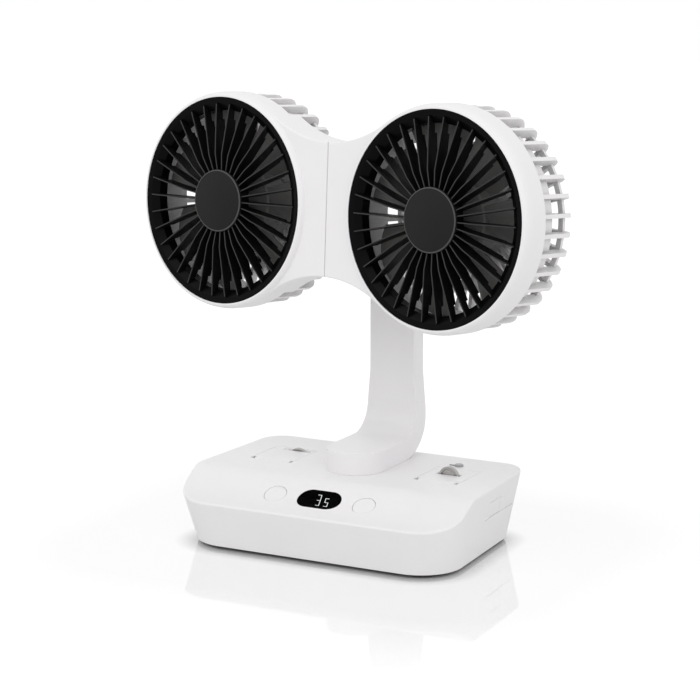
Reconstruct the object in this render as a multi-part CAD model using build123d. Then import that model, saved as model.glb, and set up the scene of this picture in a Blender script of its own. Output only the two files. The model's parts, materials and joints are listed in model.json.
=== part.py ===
from build123d import *
import os
from math import cos, radians, sin, sqrt, tan

# Dual-head desk fan. Millimetres and degrees, +Z up, front towards -Y.
# The origin is on the table, in the middle of the fan's width.

# Base: the box that holds the controls, the battery and the two lidded wells
foot_height = 2.0
base_height = 40.0
deck_front_half_width = 92.5
deck_taper = 6.7
deck_front_y = -62.5
deck_rear_y = 60.0
front_corner_draft = 7.3
rear_corner_draft = 6.5
front_draft = 10.3
rear_draft = 6.0
base_front_radius = 25.0
base_rear_radius = 15.0
base_wall = 2.2
base_edge_round = 1.2
rim_search_depth = 0.2

# Cove: the control face between the deck and the low front lip
cove_top_y = -24.0
cove_lip_y = -59.0
cove_ramp_angle = 30.0
cove_radius = 46.0
cove_crest_radius = 16.0

# Control face
panel_y = -38.5
display_width = 27.2
display_height = 15.3
display_depth = 3.4
display_gap = 0.1
display_rim = 1.2
display_rim_thickness = 0.9
digit_depth = 0.4
digit_stroke = 0.45
digit_slant = -13.0
tall_digit_height = 8.8
short_digit_height = 6.8
digit_width = 2.1
digit_pitch = 5.2
digit_base_y = -4.8
digit_first_x = -0.2
module_width = 24.0
module_height = 11.0
button_x = 28.6
button_radius = 6.6
button_gap = 0.22
button_depth = 2.6
button_flange = 1.1
button_flange_thickness = 1.0
button_travel = 0.8
plunger_radius = 2.0
plunger_length = 1.0
switch_side = 6.0
switch_height = 3.2
switch_actuator_radius = 1.7
switch_actuator_height = 0.7
switch_gap = 0.1
board_thickness = 1.6
control_board_width = 92.0
control_board_depth = 15.0
control_boss_x = 41.5
board_screw_length = 5.0
board_screw_inset = 3.2

# Bottom plate, feet and screws
plate_thickness = 2.2
plate_gap = 0.2
foot_radius = 7.0
foot_recess = 0.8
foot_front_inset = 28.5
foot_front_y = -36.0
foot_rear_inset = 30.5
foot_rear_y = 40.0
screw_radius = 1.5
screw_head_radius = 2.8
screw_head_height = 1.4
base_screw_length = 14.0
base_screw_inset = 18.9
base_screw_front_y = -14.0
base_screw_rear_y = 42.0
boss_radius = 3.6

# Battery and boards inside the base
cell_radius = 9.1
cell_length = 65.0
cell_pitch = 19.6
cell_row_y = 17.0
cell_seat = 1.2
cell_gap = 0.1
holder_length = 76.0
holder_depth = 41.0
holder_height = 9.0
main_board_width = 28.0
main_board_depth = 50.0
main_board_inset = 38.1
main_board_y = 4.0
post_height = 4.0
post_radius = 2.6
charge_board_width = 11.0
charge_board_depth = 28.0
charge_board_inset = 16.5
socket_width = 9.0
socket_height = 3.3
socket_length = 7.0
socket_wall = 0.5
socket_mouth_inset = 9.3
socket_z = 28.0

# Flap over the charging port, in the right wall
flap_y = 13.2
flap_width = 16.4
flap_height = 9.4
flap_low_z = 23.3
flap_thickness = 1.4
flap_gap = 0.25
flap_pivot_radius = 0.4
flap_pivot_length = 0.9
flap_pivot_gap = 0.05
seam_front_y = 0.0
seam_rear_y = 47.0
seam_width = 0.4
seam_depth = 0.5

# Lidded wells in the deck
hatch_x = 54.0
hatch_width = 27.0
hatch_front_y = 0.6
hatch_rear_y = 33.0
hatch_gap = 0.25
hatch_notch = 2.0
lid_thickness = 2.15
lid_knuckle_radius = 2.6
lid_pin_radius = 0.9
lid_pin_gap = 0.05
lid_pin_seat = 2.2
lid_turn_gap = 0.3
well_wall = 1.3
well_floor_z = 24.0

# Half-round pull tabs that slide in a slot of each lid
tab_radius = 6.2
tab_thickness = 2.4
tab_slot_half_length = 7.6
tab_slot_gap = 0.3
right_tab_y = 19.4
left_tab_y = 29.2
left_tab_shift = 3.2
tab_raised_height = 4.8
left_tab_height = 1.4
tab_foot_half_length = 8.8
tab_foot_height = 1.2
tab_guide_depth = 8.0
tab_guide_wall = 1.1
tab_guide_gap = 0.15
tab_groove_outer = 4.7
tab_groove_inner = 3.2
tab_groove_depth = 0.5
left_slot_frame_half_length = 9.6
left_slot_frame_half_width = 2.4
left_slot_frame_depth = 0.5
stud_radius = 2.6
stud_height = 1.2
stud_offset_x = -3.2
stud_offset_y = 6.2
stud_pin_radius = 1.2
stud_link_length = 3.4
stud_link_width = 0.9
stud_link_height = 0.6

# Stem: a C-shaped band from the foot on the deck up to the arm behind the heads
stem_back_y = 64.8
stem_thickness = 12.6
stem_inner_radius = 15.0
stem_half_width = 14.5
foot_half_width = 17.4
foot_front_end_y = -10.5
flare_low_z = 56.0
flare_high_z = 92.0
arm_top_z = 172.0
arm_end_radius = 12.0
arm_taper_end_y = 50.0
channel_half_width = 12.4
channel_start_y = 38.5
channel_depth = 10.5
stem_cover_thickness = 1.8
stem_cover_gap = 0.15
core_half_width = 8.0
core_front_depth = 7.8
core_back_depth = 4.8
core_start_y = 31.5
foot_screw_length = 11.0
foot_screw_front_y = 0.0
foot_screw_rear_y = 25.0

# Swivel on the arm, and the tilt shaft between the two heads
swivel_y = 28.1
swivel_bolt_radius = 2.5
swivel_bolt_gap = 0.05
bolt_head_radius = 4.6
bolt_head_height = 3.0
swivel_washer_thickness = 0.6
swivel_washer_radius = 8.0
barrel_radius = 8.5
barrel_height = 34.0
cap_nut_radius = 6.0
cap_nut_height = 4.0
cap_nut_gap = 0.15
nut_end_thickness = 1.0
neck_reach = 31.0
neck_half_width = 6.0
neck_half_height = 6.0
knuckle_radius = 7.6
knuckle_half_length = 8.0
tilt_axis_z = 195.4
tilt_shaft_radius = 3.0
tilt_shaft_half_length = 13.4
tilt_shaft_gap = 0.05
tilt_washer_thickness = 0.5
tilt_washer_radius = 6.0
rest_yaw = 12.4
rest_tilt = 4.5
rest_lean = -1.5

# Fan heads. Depths are counted back from the front of the grille's rim.
rim_ahead_of_shaft = 14.0
rim_radius = 60.3
shell_gap = 0.15
shell_wall = 3.35
shell_lip = 0.5
shell_depth = 17.0
shell_front_round = 7.0
bridge_reach = 15.45
bridge_height_share = 0.602
shoulder_width = 1.5
shoulder_front_depth = 11.5
shoulder_rear_depth = 12.7
head_depth = 47.0
bridge_front_depth = 2.7
bridge_rear_depth = 25.0
bridge_wall = 2.3
bridge_edge_round = 0.9
bridge_corner_cut = 6.0
seam_gap = 0.3
slot_half_height = 14.0
shaft_boss_radius = 7.0
shaft_boss_gap = 0.3
bridge_cover_thickness = 2.0
bridge_cover_gap = 0.15
bridge_screw_y = 21.0
bridge_screw_x = 8.5
small_screw_radius = 1.2
small_screw_head_radius = 2.3
small_screw_head_height = 1.2
small_screw_length = 7.0
small_boss_radius = 3.0

# Front grille
fin_count = 34
fin_thickness = 1.1
fin_root_height = 1.8
fin_peak_radius = 27.5
fin_peak_height = 3.0
fin_waist_radius = 40.0
fin_waist_height = 1.8
fin_tip_inset = 3.9
fin_tip_depth = 1.2
fin_step_inset = 12.9
fin_inner_depth = 6.2
fin_outer_depth = 4.6
fin_seat = 0.2
grille_hub_radius = 17.4
grille_hub_depth = 6.0
grille_hub_front = 0.9
rim_width = 3.7
rim_edge = 0.3
dish_inset = 3.3
dish_depth = 0.6
throat_inset = 7.5
throat_front_depth = 3.3
throat_rear_depth = 9.5
cap_radius = 18.1
cap_front = 3.0
cap_edge = 0.5
cap_peg_radius = 3.0
cap_peg_depth = 3.0

# Rear cage
rib_count = 36
rib_thickness = 2.4
rib_turn = 5.0
rib_inset = 1.5
rib_corner_radius = 7.0
rib_inner_radius = 2.0
spoke_depth = 5.0
tunnel_wall = 1.6
tunnel_front_depth = 12.0
tunnel_end_depth = 30.5
tie_ring_width = 3.1
tie_ring_step = 1.2
tie_ring_front = 41.0
tie_ring_rear = 43.1
mid_ring_radius = 41.0
mid_ring_width = 2.4
cage_hub_radius = 23.0
cage_hub_thickness = 3.0
cage_hub_overlap = 1.0
rear_cap_radius = 14.0
rear_cap_thickness = 1.4

# Motor and impeller
motor_radius = 15.0
motor_front_depth = 17.0
motor_screw_count = 3
motor_screw_circle = 8.5
shaft_radius = 1.5
shaft_gap = 0.05
shaft_front_depth = 14.0
shaft_rear_depth = 33.0
impeller_hub_radius = 26.0
impeller_hub_front = 13.0
impeller_hub_rear = 27.0
impeller_hub_wall = 1.6
impeller_boss_radius = 4.0
impeller_boss_rear = 16.5
blade_count = 7
blade_tip_gap = 2.4
blade_middle_depth = 20.0
blade_root_radius = 24.0
blade_root_chord = 21.0
blade_tip_chord = 37.0
blade_root_pitch = 36.0
blade_tip_pitch = 19.0
blade_camber = 2.6
blade_thickness = 1.5
blade_edge_thickness = 0.7

# Extra length of a cutting body past the face it goes through
cut_margin = 1.0

# Heights and radii that follow from the values above
bottom_z = foot_height
deck_z = bottom_z + base_height
plate_top_z = bottom_z + plate_thickness
under_deck_z = deck_z - base_wall
deck_rear_half_width = deck_front_half_width - deck_taper
bottom_front_half_width = deck_front_half_width - front_corner_draft
bottom_rear_half_width = deck_rear_half_width - rear_corner_draft
bottom_front_y = deck_front_y + front_draft
bottom_rear_y = deck_rear_y - rear_draft
foot_front_x = deck_front_half_width - foot_front_inset
foot_rear_x = deck_front_half_width - foot_rear_inset
base_screw_x = deck_front_half_width - base_screw_inset
charge_board_x = deck_front_half_width - charge_board_inset
socket_mouth_x = deck_front_half_width - socket_mouth_inset
main_board_x = main_board_inset - deck_front_half_width
left_tab_x = left_tab_shift - hatch_x
arm_low_z = arm_top_z - stem_thickness
shell_radius = rim_radius + shell_wall
head_spacing = shell_radius + bridge_reach
bridge_half_height = shell_radius * bridge_height_share
duct_radius = rim_radius - rim_width
dish_radius = rim_radius - dish_inset
throat_radius = rim_radius - throat_inset
fin_tip_radius = rim_radius - fin_tip_inset
fin_step_radius = rim_radius - fin_step_inset
rib_radius = shell_radius - rib_inset
tunnel_outer_radius = duct_radius + tunnel_wall
tie_ring_outer = duct_radius + tie_ring_step
tie_ring_inner = tie_ring_outer - tie_ring_width
blade_tip_radius = duct_radius - blade_tip_gap


def box_between(low, high):
    size = [b - a for a, b in zip(low, high)]
    middle = [(a + b) / 2 for a, b in zip(low, high)]
    return Pos(*middle) * Box(*size)


def rod(radius, low, high):
    return Pos(0, 0, (low + high) / 2) * Cylinder(radius, high - low)


def rod_at(x, y, radius, low, high):
    return Pos(x, y, 0) * rod(radius, low, high)


def rod_along_x(radius, low, high):
    return Pos((low + high) / 2, 0, 0) * Rot(0, 90, 0) * Cylinder(radius, high - low)


def ring(outer, inner, low, high):
    return rod(outer, low, high) - rod(inner, low, high)


def screw(length, radius, head_radius, head_height):
    """Screw along Z with its head's underside at zero and its shank above it."""
    return rod(radius, 0, length) + rod(head_radius, -head_height, 0)


def save(node, pieces):
    if isinstance(pieces, list):
        pieces = Compound(children=pieces) if len(pieces) > 1 else pieces[0]
    export_step(pieces, os.path.join("parts", node + ".step"))


# Base body

def at_height(low_value, high_value, z):
    return low_value + (high_value - low_value) * (z - bottom_z) / base_height


def base_outline(z, inset):
    front_x = at_height(bottom_front_half_width, deck_front_half_width, z) - inset
    rear_x = at_height(bottom_rear_half_width, deck_rear_half_width, z) - inset
    front_y = at_height(bottom_front_y, deck_front_y, z) + inset
    rear_y = at_height(bottom_rear_y, deck_rear_y, z) - inset
    outline = make_face(Polyline(
        (-front_x, front_y), (front_x, front_y), (rear_x, rear_y), (-rear_x, rear_y), close=True))
    outline = fillet(outline.vertices().group_by(Axis.Y)[0], base_front_radius - inset)
    outline = fillet(outline.vertices().group_by(Axis.Y)[-1], base_rear_radius - inset)
    return Pos(0, 0, z) * outline


def base_block(low_z, high_z, inset):
    return loft([base_outline(low_z, inset), base_outline(high_z, inset)], ruled=True)


ramp = radians(cove_ramp_angle)
ramp_run = cove_top_y - cove_lip_y - cove_radius * sin(ramp)
cove_lip_z = deck_z - ramp_run * tan(ramp) - cove_radius * (1 - cos(ramp))
crest_y = cove_top_y + cove_crest_radius * tan(ramp / 2)


def cove_cutter(depth):
    """Space above the control face and in front of the deck, sunk by a depth."""
    radius = cove_radius + depth
    crest = cove_crest_radius - depth
    centre_z = cove_lip_z + cove_radius
    crest_z = deck_z - cove_crest_radius
    far_y = cove_lip_y - base_height
    high_z = deck_z + base_height

    def on_bend(angle):
        return (cove_lip_y + radius * sin(angle), centre_z - radius * cos(angle))

    def on_crest(angle):
        return (crest_y - crest * sin(angle), crest_z + crest * cos(angle))

    outline = [
        Line((far_y, centre_z - radius), on_bend(0)),
        ThreePointArc(on_bend(0), on_bend(ramp / 2), on_bend(ramp)),
        Line(on_bend(ramp), on_crest(ramp)),
        ThreePointArc(on_crest(ramp), on_crest(ramp / 2), on_crest(0)),
        Line(on_crest(0), (crest_y, high_z)),
        Line((crest_y, high_z), (far_y, high_z)),
        Line((far_y, high_z), (far_y, centre_z - radius)),
    ]
    return extrude(Plane.YZ * make_face(outline), deck_front_half_width * 2, both=True)


def edge_on_rim(edge):
    middle = edge.position_at(0.5)
    return middle.Z > cove_lip_z - rim_search_depth and not rim_test.is_inside(middle)


rim_test = base_block(bottom_z, deck_z + base_wall, base_edge_round / 2).solid()
base_solid = base_block(bottom_z, deck_z, 0) - cove_cutter(0)
base_solid = fillet(base_solid.edges().filter_by(edge_on_rim), base_edge_round)
base_cavity = base_block(bottom_z, under_deck_z, base_wall) - cove_cutter(base_wall)

# Frame of the control face: X across, Y up the slope, Z straight out of it
panel_sine = (panel_y - cove_lip_y) / cove_radius
panel_cosine = sqrt(1 - panel_sine ** 2)
panel_z = cove_lip_z + cove_radius * (1 - panel_cosine)
panel = Plane(origin=(0, panel_y, panel_z), x_dir=(1, 0, 0), z_dir=(0, -panel_sine, panel_cosine))
above_panel = 4.0
plunger_end = button_depth + button_flange_thickness + plunger_length
switch_top = plunger_end + button_travel + switch_gap
board_front = switch_top + switch_height
board_back = board_front + board_thickness


def on_panel(shape):
    return panel.location * shape


def panel_rod(x, radius, low, high):
    return on_panel(rod_at(x, 0, radius, low, high))


def panel_box(x, width, depth, low, high):
    return on_panel(box_between((x - width / 2, -depth / 2, low), (x + width / 2, depth / 2, high)))


def display_pill(grow, low, high):
    outline = SlotOverall(display_width + 2 * grow, display_height + 2 * grow)
    return on_panel(Pos(0, 0, low) * extrude(outline, high - low))


def digit(x, height, strokes):
    """Figure of a seven-bar display, leaning with the height."""
    lean = tan(radians(digit_slant))
    levels = {"low": 0, "middle": height / 2, "high": height}
    bars = []
    for start_side, start_level, end_side, end_level in strokes:
        start_y = levels[start_level]
        end_y = levels[end_level]
        start = Vector(x + start_side * digit_width + start_y * lean, digit_base_y + start_y, 0)
        end = Vector(x + end_side * digit_width + end_y * lean, digit_base_y + end_y, 0)
        place = Plane(origin=(start + end) / 2, x_dir=end - start, z_dir=(0, 0, 1))
        bar = extrude(SlotCenterToCenter((end - start).length, digit_stroke), above_panel, both=True)
        bars.append(on_panel(place.location * bar))
    return bars


three_strokes = [
    (0, "high", 1, "high"),
    (1, "high", 1, "middle"),
    (0, "middle", 1, "middle"),
    (1, "middle", 1, "low"),
    (0, "low", 1, "low"),
]
five_strokes = [
    (0, "high", 1, "high"),
    (0, "high", 0, "middle"),
    (0, "middle", 1, "middle"),
    (1, "middle", 1, "low"),
    (0, "low", 1, "low"),
]

digit_bars = digit(digit_first_x, tall_digit_height, three_strokes)
digit_bars += digit(digit_first_x + digit_pitch, short_digit_height, five_strokes)
digit_prisms = digit_bars[0] + digit_bars[1:]
display_digits = digit_prisms & (base_solid & cove_cutter(digit_depth))

display_window = display_pill(0, -display_depth, above_panel) & base_solid
display_rim_low = -base_wall - display_gap - display_rim_thickness
display_window += display_pill(display_rim, display_rim_low, display_rim_low + display_rim_thickness)
display_window -= display_digits

# Control board with the display module and the two push switches
control_board = panel_box(0, control_board_width, control_board_depth, -board_back, -board_front)
control_board += panel_box(0, module_width, module_height, -board_front, -display_depth)
for side in (-1, 1):
    control_board -= panel_rod(side * control_boss_x, screw_radius, -board_back, -board_front)

button_switches = []
for side in (-1, 1):
    switch_body_top = -switch_top - switch_actuator_height
    switch = panel_box(side * button_x, switch_side, switch_side, -board_front, switch_body_top)
    switch += panel_rod(side * button_x, switch_actuator_radius, switch_body_top, -switch_top)
    button_switches.append(switch)


def button_at(x):
    flange_low = -button_depth - button_flange_thickness
    cap = panel_rod(x, button_radius, -button_depth, above_panel) & base_solid
    flange = panel_rod(x, button_radius + button_flange, flange_low, -button_depth)
    plunger = panel_rod(x, plunger_radius, -plunger_end, flange_low)
    return cap + flange + plunger


# Charging port and its flap, in the plane of the right wall
wall_low_x = at_height(bottom_front_half_width, deck_front_half_width, flap_low_z)
wall_rear_x = at_height(bottom_rear_half_width, deck_rear_half_width, flap_low_z)
wall_front_y = at_height(bottom_front_y, deck_front_y, flap_low_z)
wall_rear_y = at_height(bottom_rear_y, deck_rear_y, flap_low_z)
wall_taper = (wall_rear_x - wall_low_x) / (wall_rear_y - wall_front_y)
wall_draft = (deck_front_half_width - bottom_front_half_width) / base_height
wall_draft += wall_taper * (bottom_front_y - deck_front_y) / base_height
flap_wall_x = wall_low_x + wall_taper * (flap_y - wall_front_y)
wall_along = Vector(wall_taper, 1, 0).normalized()
wall_up = Vector(wall_draft, 0, 1)
wall_out = wall_along.cross(wall_up).normalized()
flap_frame = Plane(origin=(flap_wall_x, flap_y, flap_low_z), x_dir=wall_along, z_dir=wall_out)
flap_half = flap_width / 2
flap_bend = flap_thickness / 2


def flap_pivot(radius, length):
    pivot = rod_along_x(radius, -flap_half - length, flap_half + length)
    return Pos(0, flap_bend, -flap_bend) * pivot


def side_flap():
    plate = box_between((-flap_half, flap_bend, -flap_thickness), (flap_half, flap_height, 0))
    lower_edge = Pos(0, flap_bend, -flap_bend) * rod_along_x(flap_bend, -flap_half, flap_half)
    return flap_frame.location * (plate + lower_edge + flap_pivot(flap_pivot_radius, flap_pivot_length))


def flap_opening():
    hole = box_between(
        (-flap_half - flap_gap, -flap_gap, -base_wall * 2),
        (flap_half + flap_gap, flap_height + flap_gap, base_wall))
    pivots = flap_pivot(flap_pivot_radius + flap_pivot_gap, flap_pivot_length + flap_gap)
    return flap_frame.location * (hole + pivots)


def side_seam():
    front = (seam_front_y - flap_y, -flap_gap - seam_width, -seam_depth)
    rear = (seam_rear_y - flap_y, -flap_gap, base_wall)
    return flap_frame.location * box_between(front, rear)


# Wells, lids and pull tabs. A hatch is built for the right side and moved to each side.
hatch_half = hatch_width / 2
pin_y = hatch_front_y + lid_knuckle_radius
pin_z = deck_z - lid_knuckle_radius
pin_half = hatch_half + hatch_gap + lid_pin_seat
lid_low_z = deck_z - lid_thickness
guide_foot_half = tab_foot_half_length + tab_guide_gap
guide_outer_half = guide_foot_half + tab_guide_wall
guide_foot_depth = tab_thickness / 2 + tab_guide_gap
guide_outer_depth = guide_foot_depth + tab_guide_wall


def hatch_opening(x):
    front = hatch_front_y - lid_turn_gap
    half = hatch_half + hatch_gap
    rear = hatch_rear_y + hatch_gap
    return box_between(
        (x - half, front, under_deck_z - cut_margin), (x + half, rear, deck_z + cut_margin))


def hatch_pin(x, radius):
    return Pos(x, pin_y, pin_z) * rod_along_x(radius, -pin_half, pin_half)


def hatch_well(x):
    half = hatch_half + hatch_gap + well_wall
    front = hatch_front_y - lid_turn_gap - well_wall
    rear = hatch_rear_y + hatch_gap + well_wall
    tray = box_between((x - half, front, well_floor_z), (x + half, rear, under_deck_z))
    tray -= box_between(
        (x - half + well_wall, front + well_wall, well_floor_z + well_wall),
        (x + half - well_wall, rear - well_wall, deck_z))
    return tray - hatch_pin(x, lid_pin_radius)


def hatch_lid(x, tab_x, tab_y):
    lid = box_between((x - hatch_half, pin_y, lid_low_z), (x + hatch_half, hatch_rear_y, deck_z))
    knuckle_half = hatch_half - hatch_notch
    for side in (-1, 1):
        corner = x + side * hatch_half
        inner = x + side * knuckle_half
        lid -= box_between(
            (min(corner, inner), pin_y - cut_margin, lid_low_z - cut_margin),
            (max(corner, inner), pin_y + hatch_notch, deck_z + cut_margin))
    lid += Pos(x, pin_y, pin_z) * rod_along_x(lid_knuckle_radius, -knuckle_half, knuckle_half)
    sleeve_low = lid_low_z - tab_guide_depth
    lid += box_between(
        (tab_x - guide_outer_half, tab_y - guide_outer_depth, sleeve_low),
        (tab_x + guide_outer_half, tab_y + guide_outer_depth, lid_low_z))
    lid -= box_between(
        (tab_x - guide_foot_half, tab_y - guide_foot_depth, sleeve_low + tab_guide_wall),
        (tab_x + guide_foot_half, tab_y + guide_foot_depth, lid_low_z))
    slot_half_width = tab_thickness / 2 + tab_slot_gap
    lid -= box_between(
        (tab_x - tab_slot_half_length, tab_y - slot_half_width, lid_low_z - cut_margin),
        (tab_x + tab_slot_half_length, tab_y + slot_half_width, deck_z + cut_margin))
    return lid - hatch_pin(x, lid_pin_radius + lid_pin_gap)


def pull_tab(x, y, height):
    """Half-round tab standing a height above the deck, with its foot under the lid."""
    centre_z = deck_z + height - tab_radius
    foot_high = lid_low_z - tab_guide_gap - (tab_raised_height - height)
    foot_low = foot_high - tab_foot_height
    half = tab_thickness / 2
    tab = Rot(90, 0, 0) * Cylinder(tab_radius, tab_thickness)
    for side in (-1, 1):
        groove = ring(tab_groove_outer, tab_groove_inner, half - tab_groove_depth, half)
        tab -= Rot(side * 90, 0, 0) * groove
    tab = Pos(x, y, centre_z) * tab
    tab -= box_between(
        (x - tab_radius, y - half, centre_z - tab_radius), (x + tab_radius, y + half, foot_low))
    return tab + box_between(
        (x - tab_foot_half_length, y - half, foot_low), (x + tab_foot_half_length, y + half, foot_high))


def catch_stud():
    x = hatch_x + stud_offset_x
    y = hatch_rear_y + stud_offset_y
    stud = rod_at(x, y, stud_radius, deck_z, deck_z + stud_height)
    stud += rod_at(x, y, stud_pin_radius, under_deck_z, deck_z)
    link_end = x - stud_radius - stud_link_length
    return stud + box_between(
        (link_end, y - stud_link_width / 2, deck_z),
        (x, y + stud_link_width / 2, deck_z + stud_link_height))


# Places of the screws, posts and feet inside the base
base_screw_places = [
    (side * base_screw_x, y) for side in (-1, 1) for y in (base_screw_front_y, base_screw_rear_y)]
foot_places = [(0, 0)] + [
    (side * x, y) for side in (-1, 1)
    for x, y in ((foot_front_x, foot_front_y), (foot_rear_x, foot_rear_y))]
main_screw_reach = main_board_depth / 2 - board_screw_inset
charge_screw_reach = charge_board_depth / 2 - board_screw_inset
main_board_screws = [(main_board_x, main_board_y + side * main_screw_reach) for side in (-1, 1)]
charge_board_screws = [(charge_board_x, flap_y + side * charge_screw_reach) for side in (-1, 1)]
main_board_low_z = plate_top_z + post_height
charge_board_high_z = socket_z - socket_height / 2
charge_board_low_z = charge_board_high_z - board_thickness
foot_screw_places = [(0, foot_screw_front_y), (0, foot_screw_rear_y)]

base_shell = base_solid - base_cavity
for x, y in base_screw_places:
    base_shell += rod_at(x, y, boss_radius, plate_top_z, under_deck_z)
for side in (-1, 1):
    boss = panel_rod(side * control_boss_x, post_radius, -board_front, -base_wall / 2)
    base_shell += boss - panel_rod(side * control_boss_x, screw_radius, -board_front, -base_wall)
    base_shell -= hatch_opening(side * hatch_x)
    base_shell -= hatch_pin(side * hatch_x, lid_pin_radius)
    base_shell -= panel_rod(side * button_x, button_radius + button_gap, -base_wall * 2, above_panel)
for x, y in base_screw_places:
    base_shell -= rod_at(x, y, screw_radius, bottom_z, bottom_z + base_screw_length)
for x, y in foot_screw_places:
    base_shell -= rod_at(x, y, screw_radius, under_deck_z - cut_margin, deck_z + cut_margin)
base_shell -= display_pill(display_gap, -base_wall * 2, above_panel)
base_shell -= flap_opening()
base_shell -= side_seam()
base_shell -= rod_at(
    hatch_x + stud_offset_x, hatch_rear_y + stud_offset_y, stud_pin_radius,
    under_deck_z - cut_margin, deck_z + cut_margin)

plate_inset = base_wall + plate_gap
base_bottom_plate = base_block(bottom_z, plate_top_z, plate_inset)
for x, y in main_board_screws:
    base_bottom_plate += rod_at(x, y, post_radius, plate_top_z, main_board_low_z)
for x, y in charge_board_screws:
    base_bottom_plate += rod_at(x, y, post_radius, plate_top_z, charge_board_low_z)
for x, y in base_screw_places:
    base_bottom_plate -= rod_at(x, y, screw_radius, bottom_z, plate_top_z)
    base_bottom_plate -= rod_at(x, y, screw_head_radius, bottom_z, bottom_z + screw_head_height)
for x, y in foot_places:
    base_bottom_plate -= rod_at(x, y, foot_radius, bottom_z, bottom_z + foot_recess)
for x, y in main_board_screws:
    base_bottom_plate -= rod_at(x, y, screw_radius, plate_top_z, main_board_low_z)
for x, y in charge_board_screws:
    base_bottom_plate -= rod_at(x, y, screw_radius, plate_top_z, charge_board_low_z)

rubber_feet = [rod_at(x, y, foot_radius, 0, bottom_z + foot_recess) for x, y in foot_places]
base_screws = []
for x, y in base_screw_places:
    fastener = screw(base_screw_length - screw_head_height, screw_radius, screw_head_radius, screw_head_height)
    base_screws.append(Pos(x, y, bottom_z + screw_head_height) * fastener)

# Battery, boards and their screws
cell_middle_z = plate_top_z + cell_seat + cell_radius
cell_rows = [cell_row_y, cell_row_y + cell_pitch]
holder_middle_y = cell_row_y + cell_pitch / 2
battery_holder = box_between(
    (-holder_length / 2, holder_middle_y - holder_depth / 2, plate_top_z),
    (holder_length / 2, holder_middle_y + holder_depth / 2, plate_top_z + holder_height))
battery_cells = []
for y in cell_rows:
    place = Pos(0, y, cell_middle_z)
    half = cell_length / 2
    battery_cells.append(place * rod_along_x(cell_radius, -half, half))
    battery_holder -= place * rod_along_x(cell_radius + cell_gap, -half - cell_gap, half + cell_gap)

main_board = box_between(
    (main_board_x - main_board_width / 2, main_board_y - main_board_depth / 2, main_board_low_z),
    (main_board_x + main_board_width / 2, main_board_y + main_board_depth / 2,
     main_board_low_z + board_thickness))
for x, y in main_board_screws:
    main_board -= rod_at(x, y, screw_radius, main_board_low_z, main_board_low_z + board_thickness)

charge_board = box_between(
    (charge_board_x - charge_board_width / 2, flap_y - charge_board_depth / 2, charge_board_low_z),
    (charge_board_x + charge_board_width / 2, flap_y + charge_board_depth / 2, charge_board_high_z))
for x, y in charge_board_screws:
    charge_board -= rod_at(x, y, screw_radius, charge_board_low_z, charge_board_high_z)

socket_outline = SlotOverall(socket_width, socket_height)
socket_hole = SlotOverall(socket_width - 2 * socket_wall, socket_height - 2 * socket_wall)
charging_socket = extrude(socket_outline, socket_length)
charging_socket -= Pos(0, 0, socket_wall) * extrude(socket_hole, socket_length)
socket_place = Plane(
    origin=(socket_mouth_x - socket_length, flap_y, socket_z), x_dir=(0, 1, 0), z_dir=(1, 0, 0))
charging_socket = socket_place.location * charging_socket

board_screw = screw(board_screw_length, screw_radius, screw_head_radius, screw_head_height)
board_screws = []
for side in (-1, 1):
    board_screws.append(on_panel(Pos(side * control_boss_x, 0, -board_back) * board_screw))
for x, y in main_board_screws:
    board_screws.append(Pos(x, y, main_board_low_z + board_thickness) * Rot(180, 0, 0) * board_screw)
for x, y in charge_board_screws:
    board_screws.append(Pos(x, y, charge_board_high_z) * Rot(180, 0, 0) * board_screw)


# Stem

def band_region(inset):
    """Side view of everything in front of the C-shaped band's skin at a depth."""
    low = deck_z + inset
    high = arm_top_z - inset
    back = stem_back_y - inset
    far = foot_front_end_y - cut_margin
    region = make_face(Polyline((far, low), (back, low), (back, high), (far, high), close=True))
    bend = stem_inner_radius + stem_thickness - inset
    return Plane.YZ * fillet(region.vertices().group_by(Axis.X)[-1], bend)


def c_band(outer_depth, inner_depth, half_width):
    outer = extrude(band_region(outer_depth), half_width, both=True)
    return outer - extrude(band_region(inner_depth), half_width + cut_margin, both=True)


def behind(y):
    return box_between((-foot_half_width, y, 0), (foot_half_width, stem_back_y * 2, arm_top_z * 2))


def stem_body():
    flare = make_face(Polyline(
        (-foot_half_width, deck_z), (foot_half_width, deck_z), (foot_half_width, flare_low_z),
        (stem_half_width, flare_high_z), (stem_half_width, arm_top_z), (-stem_half_width, arm_top_z),
        (-stem_half_width, flare_high_z), (-foot_half_width, flare_low_z), close=True))
    flare = extrude(Plane.XZ * flare, stem_back_y * 2, both=True)
    middle_z = (deck_z + arm_top_z) / 2
    foot_middle_y = foot_front_end_y + foot_half_width
    foot_plan = behind(foot_middle_y) + rod_at(0, foot_middle_y, foot_half_width, 0, middle_z)
    foot_plan &= box_between(
        (-foot_half_width, foot_front_end_y, 0), (foot_half_width, stem_back_y, middle_z))
    arm_plan = make_face(Polyline(
        (-arm_end_radius, swivel_y), (-stem_half_width, arm_taper_end_y), (-stem_half_width, stem_back_y),
        (stem_half_width, stem_back_y), (stem_half_width, arm_taper_end_y), (arm_end_radius, swivel_y),
        close=True))
    arm_plan = Pos(0, 0, middle_z) * extrude(arm_plan, arm_top_z - middle_z)
    arm_plan += rod_at(0, swivel_y, arm_end_radius, middle_z, arm_top_z)
    return c_band(0, stem_thickness, foot_half_width) & flare & (foot_plan + arm_plan)


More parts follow.
